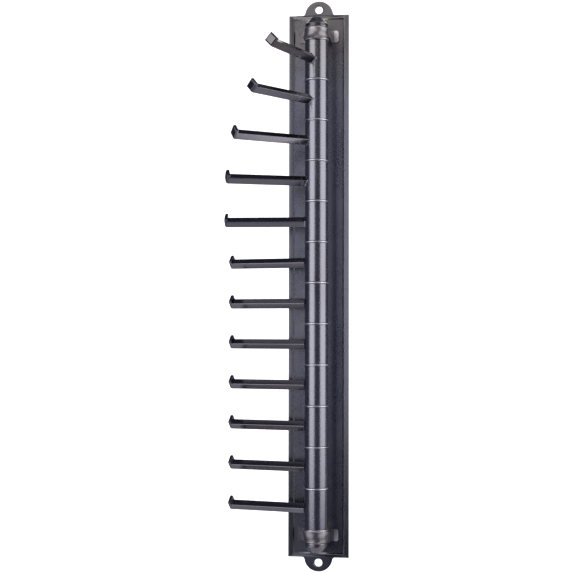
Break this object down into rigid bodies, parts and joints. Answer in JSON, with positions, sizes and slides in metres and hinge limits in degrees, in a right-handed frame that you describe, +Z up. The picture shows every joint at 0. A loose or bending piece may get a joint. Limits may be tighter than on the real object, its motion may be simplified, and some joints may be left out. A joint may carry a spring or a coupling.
{
  "type": "swing-arm rack",
  "caption": "Wall rack with swing arms on one upright column: each square-bar arm has an upturned stop plate and turns on a tube sleeve in front of a long rimmed backplate.",
  "frame": {"origin": "on the wall plane, midway between the two wall screw holes", "axes": "+Z up along the backplate and the pivot rod, +Y into the wall, +X to the right of a person who faces the rack"},
  "size_m": [0.1002, 0.0932, 0.4724],
  "materials": {
    "dark_plating_plate": "dark bronze-black plating, semi-gloss, with copper rubbed through on the edges",
    "dark_plating_bracket": "dark plating, glossier, with a warm cast",
    "dark_plating_nut": "dark plating, semi-gloss",
    "dark_plating_sleeve": "dark gunmetal plating, semi-gloss, on steel tube",
    "dark_plating_arm": "dark bronze-black plating, semi-gloss, on square steel bar",
    "nickel_washer": "bright edge, satin faces",
    "bright_steel": "drawn steel bar",
    "zinc_screw": "zinc plated",
    "nylon_bush": "natural nylon"
  },
  "bodies": {
    "frame": {"backplate": "dark_plating_plate", "top_bracket": "dark_plating_bracket", "bottom_bracket": "dark_plating_bracket", "pivot_rod": "bright_steel", "top_domed_nut": "dark_plating_nut", "bottom_domed_nut": "dark_plating_nut", "top_bracket_screws": "zinc_screw", "bottom_bracket_screws": "zinc_screw", "spacer_washers": "nickel_washer", "end_washers": "nickel_washer"},
    "swing_arm_1": {"sleeve_1": "dark_plating_sleeve", "arm_1": "dark_plating_arm", "bushes_1": "nylon_bush"},
    "swing_arm_2": {"sleeve_2": "dark_plating_sleeve", "arm_2": "dark_plating_arm", "bushes_2": "nylon_bush"},
    "swing_arm_3": {"sleeve_3": "dark_plating_sleeve", "arm_3": "dark_plating_arm", "bushes_3": "nylon_bush"},
    "swing_arm_4": {"sleeve_4": "dark_plating_sleeve", "arm_4": "dark_plating_arm", "bushes_4": "nylon_bush"},
    "swing_arm_5": {"sleeve_5": "dark_plating_sleeve", "arm_5": "dark_plating_arm", "bushes_5": "nylon_bush"},
    "swing_arm_6": {"sleeve_6": "dark_plating_sleeve", "arm_6": "dark_plating_arm", "bushes_6": "nylon_bush"},
    "swing_arm_7": {"sleeve_7": "dark_plating_sleeve", "arm_7": "dark_plating_arm", "bushes_7": "nylon_bush"},
    "swing_arm_8": {"sleeve_8": "dark_plating_sleeve", "arm_8": "dark_plating_arm", "bushes_8": "nylon_bush"},
    "swing_arm_9": {"sleeve_9": "dark_plating_sleeve", "arm_9": "dark_plating_arm", "bushes_9": "nylon_bush"},
    "swing_arm_10": {"sleeve_10": "dark_plating_sleeve", "arm_10": "dark_plating_arm", "bushes_10": "nylon_bush"},
    "swing_arm_11": {"sleeve_11": "dark_plating_sleeve", "arm_11": "dark_plating_arm", "bushes_11": "nylon_bush"},
    "swing_arm_12": {"sleeve_12": "dark_plating_sleeve", "arm_12": "dark_plating_arm", "bushes_12": "nylon_bush"}
  },
  "joints": [
    {"name": "arm_1_swing", "type": "hinge", "parent": "frame", "child": "swing_arm_1", "pos_m": [0, -0.022, 0.18205], "axis": [0, 0, 1], "range_deg": [-80, 124]},
    {"name": "arm_2_swing", "type": "hinge", "parent": "frame", "child": "swing_arm_2", "pos_m": [0, -0.022, 0.14895], "axis": [0, 0, 1], "range_deg": [-65.5, 138.5]},
    {"name": "arm_3_swing", "type": "hinge", "parent": "frame", "child": "swing_arm_3", "pos_m": [0, -0.022, 0.11585], "axis": [0, 0, 1], "range_deg": [-46.5, 157.5]},
    {"name": "arm_4_swing", "type": "hinge", "parent": "frame", "child": "swing_arm_4", "pos_m": [0, -0.022, 0.08275], "axis": [0, 0, 1], "range_deg": [-32.5, 171.5]},
    {"name": "arm_5_swing", "type": "hinge", "parent": "frame", "child": "swing_arm_5", "pos_m": [0, -0.022, 0.04965], "axis": [0, 0, 1], "range_deg": [-14.5, 189.5]},
    {"name": "arm_6_swing", "type": "hinge", "parent": "frame", "child": "swing_arm_6", "pos_m": [0, -0.022, 0.01655], "axis": [0, 0, 1], "range_deg": [0, 204]},
    {"name": "arm_7_swing", "type": "hinge", "parent": "frame", "child": "swing_arm_7", "pos_m": [0, -0.022, -0.01655], "axis": [0, 0, 1], "range_deg": [0, 204]},
    {"name": "arm_8_swing", "type": "hinge", "parent": "frame", "child": "swing_arm_8", "pos_m": [0, -0.022, -0.04965], "axis": [0, 0, 1], "range_deg": [0, 204]},
    {"name": "arm_9_swing", "type": "hinge", "parent": "frame", "child": "swing_arm_9", "pos_m": [0, -0.022, -0.08275], "axis": [0, 0, 1], "range_deg": [0, 204]},
    {"name": "arm_10_swing", "type": "hinge", "parent": "frame", "child": "swing_arm_10", "pos_m": [0, -0.022, -0.11585], "axis": [0, 0, 1], "range_deg": [0, 204]},
    {"name": "arm_11_swing", "type": "hinge", "parent": "frame", "child": "swing_arm_11", "pos_m": [0, -0.022, -0.14895], "axis": [0, 0, 1], "range_deg": [0, 204]},
    {"name": "arm_12_swing", "type": "hinge", "parent": "frame", "child": "swing_arm_12", "pos_m": [0, -0.022, -0.18205], "axis": [0, 0, 1], "range_deg": [0, 204]}
  ]
}
